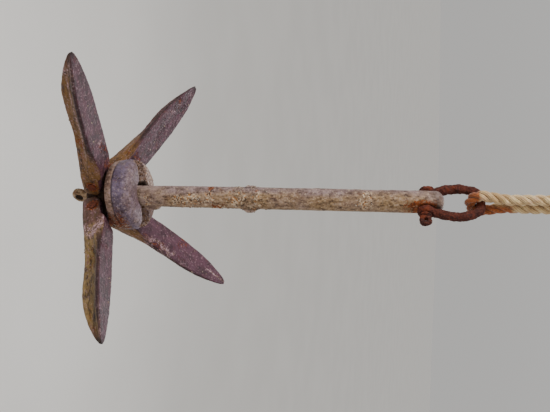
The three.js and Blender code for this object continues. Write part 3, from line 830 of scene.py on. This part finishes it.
def worn_fluke(name, paint):
    pin, along, across, face = fluke_axes(*FLUKES[name])
    skin = Skin(remeshed(f"fluke_{name}", FLUKE_VOXEL))
    skin.smooth(2)
    seed = fluke_seed(name)
    u, t, v = ((skin.p - pin) @ axis / MM for axis in (along, across, face))
    facing = skin.n @ face
    ridge = skin.bulge(10) / MM
    free = ease(FORK_FREE, 16, u)
    mates = (np.abs(t) < FORK_SLOT_HALF) & (u < FORK_FREE)
    blade = ease(26, 50, u)
    palm = np.interp(u, *PALM_FACE)
    wide = np.interp(u, *HALF_WIDTH)
    outward = np.abs(t) / wide  # 0 at the blade's middle line, 1 at its edge
    under_palm = palm - PALM_THICK - v  # below the palm's plate, on the rib's side

    # wear: waves, lumps, chipped edges, pits, and crust that builds up in places
    low_wave = fbm(skin.p, 0.03, seed, 2)
    lumps = fbm(skin.p, 0.007, seed + 3, 4, 0.55)
    near, own = cells(skin.p, 0.0042, seed + 7)
    chips = patches(skin.p, 0.009, seed + 13, 0.35, 0.8, 3) * ease(0.12, 0.4, ridge)
    pits = ease(0.34, 0.12, near) * (own > 0.62) * (0.4 + 0.6 * ease(-0.2, 0.4, lumps))
    crust_here = patches(skin.p, 0.016, seed + 21, 0.3, 0.8)
    move = -0.18 + 0.22 * low_wave + 0.26 * lumps - 0.55 * chips - 0.3 * pits
    move += crust_here * 0.26 * ease(0.45, 0.1, near) * free
    move = np.where(mates, -0.1, move * (0.35 + 0.65 * free))
    skin.push(np.minimum(move, 0.45) * MM)

    # tan on the flanks and the root, lilac on the palm: the tan is painted warm bounce light on faces
    # turned from the palm
    ridge = skin.bulge(8) / MM
    tan = ease(0.45, 0.0, facing + 0.22 * fbm(skin.p, 0.012, seed + 31, 3))
    tan *= 1 - 0.5 * ease(118, 138, u)
    root = (1 - blade) * (0.8 + 0.4 * fbm(skin.p, 0.01, seed + 33, 3)) * ease(0.95, 0.4, facing)
    tan = highest(tan, root)
    if name == "left":
        tan *= 1 - 0.85 * ease(44, 66, u)
    if name == "right":
        tan *= 1 - 0.75 * ease(26, 20, u) * ease(0.95, 0.5, facing)
    # painted shade on the palm's side faces, under the palm's plate
    side_face = ease(0.88, 0.97, outward) * ease(0.85, 0.4, facing) * bump_at(under_palm, -2.0, 2.6)
    side_face *= blade
    tan *= 1 - side_face

    # rust in patches, round the rivets and at the tip
    rust = (0.3 if name == "right" else 0.5) * patches(skin.p, 0.018, seed + 41, 0.3, 0.8, 5, 0.6)
    round_rivet = ease(8.5, 4.5, np.hypot(u, v)) * (np.abs(t) > HEAD_OUT) * 0.7
    rust = highest(rust, round_rivet, 0.2 * ease(132, 144, u)) * (1 - 0.6 * side_face)

    # lime in crusts, and where the photograph shows a band or a line of it
    lime = 0.5 * crust_here * patches(skin.p, 0.005, seed + 51, -0.1, 0.6, 4, 0.6)
    if name == "right":
        band = bump_at(u, 34 - 1.1 * np.abs(v + 1), 5.5) * ease(-0.1, 0.3, 0.75 - facing)
        lime = highest(lime, 1.3 * band * ease(-1.2, 0.0, lumps))
    if name == "back":
        low_edge = ease(0.1, 0.9, -t / wide) * bump_at(u, 60, 22)
        tip_line = bump_at(t, 0.8, 0.9) * ease(112, 122, u) * ease(0.5, 0.8, facing)
        lime = highest(lime, 1.1 * low_edge * ease(-0.6, 0.3, lumps), 0.9 * tip_line)
    if name == "front":
        near_tip = bump_at(u, 124, 13) * (0.25 + 0.75 * ease(0.7, 0.2, facing))
        rib_line = bump_at(under_palm, 5.4, 0.9) * ease(0.2, 0.4, outward) * blade
        lime = highest(lime, 0.75 * near_tip * ease(-0.3, 0.5, lumps), 0.75 * rib_line)

    # painted shade under the palm's plate, in creases and the fork, on the palm's side faces and outer
    # edges; darker pits and a darker tip
    groove = bump_at(under_palm, 1.6, 2.4) * ease(0.3, 0.5, outward) * ease(0.55, 0.1, facing)
    groove *= ease(34, 58, u) * ease(136, 120, u) * (0.75 + 0.5 * lumps)
    dark = highest(
        0.9 * highest(groove, ease(-0.08, -0.3, ridge)),
        0.45 * pits,
        0.9 * mates,
        0.66 * side_face * (0.85 + 0.3 * lumps),
        0.45 * ease(0.97, 1.0, outward) * ease(0.3, 0.8, facing) * blade,
        0.72 * ease(133, 143, u) * (0.8 + 0.4 * lumps),
    )
    # the edge mask: ridges rubbed by wear, lightened only on faces turned like the palm, and the back
    # fluke's whole palm, as a painted highlight
    rim = ease(0.14, 0.34, ridge) * (1 - rust) * 0.5
    edge = highest(rim, 0.5 * (name == "back")) * ease(0.7, 0.9, facing)
    skin.store_run(np.stack([u * 0.22 + 40 * len(name), t, v], axis=1) * MM)
    skin.store(tan=tan, edge=edge, rust=rust, lime=lime, dark=dark)
    skin.mesh.materials.append(paint)
    link_mesh(f"worn_fluke_{name}", skin.mesh, f"fluke_{name}", "grey_zinc", f"fluke_{name}")
    return skin, u


FLUKE_COOL = (linear(45, 21, 28), linear(76, 38, 51))
FLUKE_STREAKS = (linear(34, 17, 18), linear(98, 64, 80))
FLUKE_LIME = (linear(126, 95, 96), linear(177, 144, 150))
FLUKE_OCHRE = linear(112, 82, 62)
FLUKE_TAN = (linear(76, 46, 16), linear(120, 84, 38))
PALE_TAN = (linear(96, 72, 38), linear(142, 116, 70))

fluke_zinc = zinc_paint("fluke_zinc", FLUKE_COOL, FLUKE_TAN, FLUKE_STREAKS, FLUKE_LIME, FLUKE_OCHRE)
pale_zinc = zinc_paint("pale_fluke_zinc", FLUKE_COOL, PALE_TAN, FLUKE_STREAKS, FLUKE_LIME, FLUKE_OCHRE)
collar_zinc = zinc_paint(
    "collar_zinc",
    cool=(linear(76, 62, 78), linear(104, 90, 110)),
    tan=(linear(92, 66, 48), linear(140, 112, 90)),
    streaks=(linear(60, 42, 44), linear(134, 118, 138)),
    lime=(linear(132, 108, 92), linear(178, 158, 148)),
    ochre=linear(136, 98, 62),
)
shank_zinc = zinc_paint(
    "shank_zinc",
    cool=(linear(104, 83, 78), linear(146, 124, 122)),
    tan=(linear(106, 80, 52), linear(156, 128, 94)),
    streaks=(linear(62, 44, 34), linear(164, 142, 134)),
    lime=(linear(152, 124, 98), linear(208, 184, 156)),
    ochre=linear(156, 100, 40),
)
rivet_rust = iron_paint("rivet_rust", linear(58, 27, 18), linear(88, 44, 30), linear(112, 62, 42))
shackle_rust = iron_paint("shackle_rust", linear(50, 22, 18), linear(80, 38, 29), linear(110, 56, 38))
shell_white = shell_paint("barnacle_shell")

fluke_skins = {name: worn_fluke(name, pale_zinc if name == "right" else fluke_zinc) for name in FLUKES}

# ---- rivets --------------------------------------------------------

RIVET_VOXEL = 0.42 * MM


def worn_rivet(name):
    turn, _ = FLUKES[name]
    pin, _, across, _ = fluke_axes(turn, 0)
    skin = Skin(remeshed(f"rivet_{name}", RIVET_VOXEL))
    skin.smooth(1)
    head = ease(HEAD_OUT, 13.0, np.abs((skin.p - pin) @ across) / MM)
    lumps = fbm(skin.p, 0.0028, fluke_seed(name) + 200, 3, 0.6)
    skin.push((-0.05 * (1 - head) + head * 0.22 * lumps) * MM)
    ridge = skin.bulge(6) / MM
    # painted shade on the rivet's shank inside the fork and in creases
    skin.store(
        rust=0.35 * ease(0.1, 0.6, lumps),
        edge=0.4 * ease(0.1, 0.3, ridge) * head,
        dark=highest(1 - head, ease(-0.05, -0.25, ridge)),
    )
    skin.mesh.materials.append(rivet_rust)
    link_mesh(f"worn_rivet_{name}", skin.mesh, f"fluke_{name}", "red_rust", f"rivet_{name}")


for fluke_name in FLUKES:
    worn_rivet(fluke_name)

# ---- collar --------------------------------------------------------

COLLAR_TILT = math.radians(5)
COLLAR_Z = PINS_Z + 14.5 * MM
COLLAR_VOXEL = 0.6 * MM
BAND_TOP = 8.1  # the groove over the pale band, in millimetres above the rim
RUST_ANGLE = 8  # the side of the collar that has rusted


def worn_collar():
    """Returns the skin and where the collar is scabbed."""
    skin = Skin(remeshed("collar", COLLAR_VOXEL))
    skin.smooth(2)
    tilt = np.array(Matrix.Rotation(COLLAR_TILT, 3, Vector((1, -1, 0)).normalized()))
    local = (skin.p - np.array([0, 0, COLLAR_Z])) @ tilt
    x, y, h = (local / MM).T
    r = np.hypot(x, y)
    from_channel = np.abs(x - y) * math.sqrt(0.5)
    angle = np.degrees(np.arctan2(y, x))
    seed = SEED + 300
    ridge = skin.bulge(10) / MM

    outside = ease(14.5, 18, r) * ease(-1, 3, h)
    inner_wall = ease(15, 17, h) * bump_at(from_channel, 7.6, 1.6)
    lobes = highest(0.6 * ease(17, 24, h) * ease(6, 12, from_channel), inner_wall)
    far_lobe = ease(3, 7, y - x) * ease(12, 16, h)
    toward_rust = bump_at((angle - RUST_ANGLE + 180) % 360 - 180, 0, 27) * ease(22, 12, h)
    scab = highest(toward_rust, 0.75 * lobes * patches(skin.p, 0.016, seed + 15, -0.1, 0.5, 3))

    low_wave = fbm(skin.p, 0.03, seed, 2)
    lumps = fbm(skin.p, 0.006, seed + 3, 4, 0.55)
    near, own = cells(skin.p, 0.004, seed + 7)
    pits = ease(0.34, 0.1, near) * (own > 0.6)
    chips = patches(skin.p, 0.008, seed + 13, 0.3, 0.8, 3) * ease(0.15, 0.45, ridge)
    move = -0.14 + 0.2 * low_wave + 0.2 * lumps - 0.5 * chips - 0.22 * pits
    move += scab * 0.35 * ease(0.5, 0.12, near)
    skin.push(np.clip(move, -0.8, 0.5) * MM * (0.3 + 0.7 * outside))

    ridge = skin.bulge(8) / MM
    # tan on the rim band and the lobes is partly painted warm bounce light; the tan patches and the tan
    # by the rust are the metal's own
    band = ease(8.4, 7.2, h) * ease(26, 29, r)
    tan = highest(
        0.85 * band,
        0.6 * lobes,
        0.75 * far_lobe,
        0.35 * patches(skin.p, 0.014, seed + 21, 0.35, 0.8),
        0.5 * toward_rust,
    )
    on_near_lobe = ease(14, 17, h) * ease(6, 7, y - x) * ease(4, 14, x + y)
    rust = highest(
        toward_rust * (0.8 + 0.4 * lumps),
        0.22 * patches(skin.p, 0.02, seed + 23, 0.3, 0.8, 5, 0.6),
        0.6 * ease(2.2, 0.2, h),
        0.6 * on_near_lobe * (0.7 + 0.5 * lumps),
    )
    lime = highest(
        0.62 * scab * patches(skin.p, 0.004, seed + 25, 0.05, 0.5, 4, 0.6),
        0.62 * inner_wall * (0.8 + 0.4 * lumps),
        0.6 * far_lobe * ease(8, -6, x + y) * (0.8 + 0.4 * lumps),
        0.28 * patches(skin.p, 0.011, seed + 27, 0.4, 0.8, 4, 0.6),
    )
    # painted shade in the groove over the band, in creases, in the bore and on the underside; darker pits
    groove = highest(bump_at(h, BAND_TOP, 0.6) * ease(29, 31, r), ease(-0.1, -0.45, ridge))
    inside = 1 - ease(13.2, 15, r)
    under = ease(-0.2, -0.7, skin.n[:, 2]) * ease(29, 26, r)
    dark = highest(0.6 * groove, 0.35 * pits, 0.8 * inside, 0.7 * under)
    skin.store_run(local * np.array([1, 1, 0.6]))
    skin.store(tan=tan, edge=0.6 * ease(0.14, 0.36, ridge), rust=rust, lime=lime, dark=dark)
    skin.mesh.materials.append(collar_zinc)
    link_mesh("worn_collar", skin.mesh, "collar", "grey_zinc", "collar")
    return skin, scab


collar_skin, collar_scab = worn_collar()

# ---- shank ---------------------------------------------------------


SHANK_VOXEL = 0.62 * MM
BAR_R = 10.7  # the round bar, where the ears stand on it
LOCK_EAR_Z, STOP_EAR_Z, HEAD_Z, END_Z = 48, 145, 290, 300  # millimetres above the fluke pins
NOSE_EYE = (1.2, -27.4)
COOL_SIDE, STAINED_SIDE = -139, 20  # degrees round the shank
# where crust has built up: middle, half length and strength
CRUSTS = ((84, 15, 0.95), (118, 17, 1.0), (152, 16, 1.0), (47, 9, 0.45), (205, 22, 0.4), (250, 20, 0.3))


def worn_shank():
    """Returns the skin and how crusted it is."""
    skin = Skin(remeshed("shank", SHANK_VOXEL))
    skin.smooth(2)
    x, y = skin.p[:, 0] / MM, skin.p[:, 1] / MM
    z = (skin.p[:, 2] - PINS_Z) / MM
    r = np.hypot(x, y)
    around = np.arctan2(y, x)
    seed = SEED + 400
    bar = ease(30, 42, z)
    head = ease(HEAD_Z - 2, HEAD_Z + 2, z)
    end = ease(END_Z, 305, z)
    ears = ease(10.6, 11.4, r) * bar
    nose = ease(-14, -18, z)
    crown = (r > 14) & (z > -22) & (z < 20)
    ridge = skin.bulge(10) / MM

    low_wave = fbm(skin.p, 0.035, seed, 2)
    lumps = fbm(skin.p, 0.005, seed + 3, 4, 0.6)
    near, own = cells(skin.p, 0.0034, seed + 7)
    pits = ease(0.32, 0.1, near) * (own > 0.55)
    where = sum(strength * bump_at(z, middle, half) for middle, half, strength in CRUSTS)
    crust = np.minimum(where, 1) * 0.62 + 0.5 * fbm(skin.p, 0.014, seed + 9, 4, 0.6)
    crust = ease(0.27, 0.72, crust) * bar
    chips = patches(skin.p, 0.01, seed + 13, 0.3, 0.8, 3) * ease(0.15, 0.5, ridge)
    move = -0.16 + 0.16 * low_wave + 0.16 * lumps - 0.22 * pits - 0.4 * chips * (1 - head)
    move += crust * (0.16 + 0.42 * ease(0.5, 0.12, near) * (own > 0.3)) * (1 - ears)
    move = np.where(crown, -0.12, move)
    skin.push(np.clip(move, -0.5, 0.42) * MM)

    ridge = skin.bulge(8) / MM
    # lilac on one side as painted cool key light, tan on the other as painted warm bounce light, and a
    # painted lilac sheen on the end
    cool = ease(0.1, 0.95, np.cos(around - math.radians(COOL_SIDE)) + 0.35 * low_wave)
    tan = np.clip(0.8 - 0.85 * cool + 0.3 * fbm(skin.p, 0.012, seed + 21, 4), 0, 1)
    tan = highest(tan, nose * 0.95)
    tan = np.where(z > HEAD_Z, tan * (1 - 0.6 * end), tan)
    cool = highest(cool, 0.7 * end)
    rusty = fbm(skin.p, 0.0065, seed + 31, 4, 0.6) + 0.8 * bump_at(z, 116, 8) - 0.3
    stained = ease(-0.2, 0.75, np.cos(around - math.radians(STAINED_SIDE))) * ease(316, 306, z)
    stained *= ease(276, 298, z + 7 * fbm(skin.p, 0.01, seed + 33, 3))
    under_crown = ease(20, 10, z) * (1 - nose)
    rust = highest(
        crust * ease(0.2, 0.7, rusty),
        1.1 * stained,
        0.2 * patches(skin.p, 0.022, seed + 35, 0.4, 0.9, 5, 0.6),
        0.4 * nose * ease(-0.4, 0.6, lumps),
        0.6 * under_crown,
    )
    smooth_part = np.minimum(bump_at(z, 66, 11) + bump_at(z, 186, 12), 1)
    crust = crust * (1 - ease(268, 286, z)) * (1 - 0.6 * smooth_part)
    stop_ear = ears * bump_at(z, STOP_EAR_Z, 9)
    lock_ear = bump_at(z, LOCK_EAR_Z, 10)
    lime = crust * ease(-0.3, 0.5, fbm(skin.p, 0.0042, seed + 41, 3, 0.6) + 0.1) * (1 - 0.6 * cool)
    lime *= 1 - 0.7 * stop_ear
    tan *= 1 - 0.6 * highest(stop_ear, lock_ear)
    pale = highest(stop_ear, 0.7 * lock_ear) * ease(-0.5, 0.5, lumps)
    specks = ease(0.36, 0.14, near) * (own > 0.4)
    specks *= ease(0.0, 0.4, fbm(skin.p, 0.02, seed + 43, 3) + 0.3 * where)
    ear_root = bump_at(r, BAR_R, 0.5) * ease(9.5, 7.5, np.abs(z - STOP_EAR_Z)) * bar
    eye_y, eye_z = NOSE_EYE
    # painted shade at the ears' roots, under the crown between the fluke roots, in the nose's eye and in
    # creases; dark specks and darker pits
    dark = highest(
        0.7 * ease(-0.08, -0.36, ridge),
        0.55 * specks * (1 - 0.6 * lock_ear),
        0.6 * pits * crust,
        0.7 * ear_root,
        0.86 * under_crown,
        0.34 * ease(303, 309, z) * (1 + 0.5 * lumps),
        0.8 * nose * ease(4.4, 3.4, np.hypot(y - eye_y, z - eye_z)),
    )
    edge = highest(0.5 * ease(0.16, 0.4, ridge), pale)
    skin.store_run(skin.p * np.array([1, 1, 0.5]))
    skin.store(tan=tan, edge=edge, rust=rust, lime=lime, dark=dark)
    skin.mesh.materials.append(shank_zinc)
    link_mesh("worn_shank", skin.mesh, "shank", "scaled_zinc", "shank")
    return skin, crust


shank_skin, shank_crust = worn_shank()

# ---- shackle -------------------------------------------------------

SHACKLE_PIN_Z = PINS_Z + 302 * MM
IRON_VOXEL = 0.36 * MM
PIN_R = 4.4
EAR_OUTSIDE = 14.6
JAW_HALF = 8.6
ROPE_SEAT = 44.5  # how far above its pin the bow's crown bears on the rope


def worn_iron(node, name, seed, swell):
    skin = Skin(remeshed(node, IRON_VOXEL))
    skin.smooth(2)
    x, y = skin.p[:, 0] / MM, skin.p[:, 1] / MM
    z = (skin.p[:, 2] - SHACKLE_PIN_Z) / MM
    in_jaw = (np.abs(x) < JAW_HALF) & (np.hypot(y, z) < 9)
    in_bore = (np.hypot(y, z) < PIN_R) & (np.abs(x) < EAR_OUTSIDE)
    under_rope = bump_at(np.hypot(x, z - ROPE_SEAT), 0, 6)
    lumps = fbm(skin.p, 0.0075, seed, 3, 0.5)
    nodules = fbm(skin.p, 0.0026, seed + 3, 3, 0.6)
    near, own = cells(skin.p, 0.0036, seed + 7)
    flake = ease(0.2, 0.45, near) * (own > 0.5)
    move = 0.5 * lumps + 0.34 * nodules - 0.32 * flake + swell
    move = np.where(in_jaw | in_bore, -0.08, move)
    move = move * (1 - under_rope) - 0.15 * under_rope
    skin.push(np.clip(move, -0.9, 0.9) * MM)
    ridge = skin.bulge(8) / MM
    rust = highest(0.8 * patches(skin.p, 0.01, seed + 13, 0.25, 0.8, 4, 0.6), 0.7 * under_rope)
    # painted shade in creases and in the pin's bore
    dark = highest(0.7 * ease(-0.1, -0.4, ridge), 0.8 * in_bore)
    skin.store(rust=rust * 0.6, edge=0.4 * ease(0.12, 0.4, ridge), dark=dark)
    skin.mesh.materials.append(shackle_rust)
    link_mesh(name, skin.mesh, "hanger", "dark_rust", node)


worn_iron("shackle_bow", "worn_shackle_bow", SEED + 500, swell=0.05)
worn_iron("shackle_pin", "worn_shackle_pin", SEED + 540, swell=0.0)

# ---- barnacles -----------------------------------------------------

BARNACLE_SIDES = 12


def barnacles(name, skin, weight, body, slot, count, seed, tallest):
    """Small cones of ribbed plates with an open mouth, scattered where the weight is high."""
    rng = np.random.default_rng(seed)
    heap = Heap()
    placed = []
    for k in rng.choice(skin.count, size=count * 4, p=weight / weight.sum()):
        if len(placed) == count:
            break
        radius = rng.uniform(0.55, 1.0) + 0.65 * rng.random() ** 4
        p = skin.p[k] / MM
        if all(np.linalg.norm(p - q) > 0.85 * (radius + other) for q, other in placed):
            placed.append((p, radius))
            heap.add(*barnacle(p, skin.n[k], radius, tallest, rng))
    points, faces, layers = heap.gathered()
    mesh = mesh_from(name, points, faces)
    store_masks(mesh, layers)
    mesh.materials.append(shell_white)
    link_mesh(name, mesh, body, slot)


def barnacle(p, normal, radius, tallest, rng):
    """Points, faces and painted shade of one barnacle. `p` and `radius` are in millimetres."""
    side = np.cross(normal, (0.3, 0.5, 0.81))
    side /= np.linalg.norm(side)
    other = np.cross(normal, side)
    tall = min(radius * rng.uniform(0.55, 0.95), tallest)
    lean = side * rng.uniform(-0.15, 0.15) + other * rng.uniform(-0.15, 0.15)
    mouth = rng.uniform(0.3, 0.45)
    spin = rng.uniform(0, 6.28)
    rings = [  # share of the radius, share of the height, painted shade
        (1.0, -0.35, 0.55),
        (0.86, 0.35, 0.25),
        (0.64, 0.8, 0.0),
        (mouth + 0.1, 1.0, 0.0),
        (mouth, 0.92, 0.4),
        (mouth * 0.7, 0.3, 1.0),
    ]
    points, dark = [], []
    for share, height, painted_shade in rings:
        for j in range(BARNACLE_SIDES):
            a = spin + 2 * math.pi * j / BARNACLE_SIDES
            rib = 1 + (0.11 if j % 2 else -0.07) * (share > mouth + 0.05)
            out = (side * math.cos(a) + other * math.sin(a)) * radius * share * rib
            points.append((p + out + (normal + lean) * tall * height) * MM)
            dark.append(painted_shade)
    faces = ring_faces(len(rings), BARNACLE_SIDES)
    innermost = (len(rings) - 1) * BARNACLE_SIDES
    faces.append(tuple(innermost + j for j in range(BARNACLE_SIDES)))
    return points, faces, {"dark": dark}


scabbed = np.clip(collar_scab - 0.3, 0, 1) ** 2
barnacles(
    "barnacles_shank", shank_skin, shank_crust**2, "shank", "scaled_zinc",
    count=110, seed=SEED + 600, tallest=0.55,
)
barnacles(
    "barnacles_collar", collar_skin, scabbed, "collar", "grey_zinc",
    count=18, seed=SEED + 610, tallest=0.6,
)
for index, (name, (skin, u)) in enumerate(fluke_skins.items()):
    here = ease(20, 40, u) * ease(142, 130, u) * patches(skin.p, 0.02, fluke_seed(name) + 21, 0.2, 0.6)
    barnacles(
        f"barnacles_fluke_{name}", skin, here**2 + 1e-9, f"fluke_{name}", "grey_zinc",
        count=15, seed=SEED + 620 + index, tallest=0.6,
    )
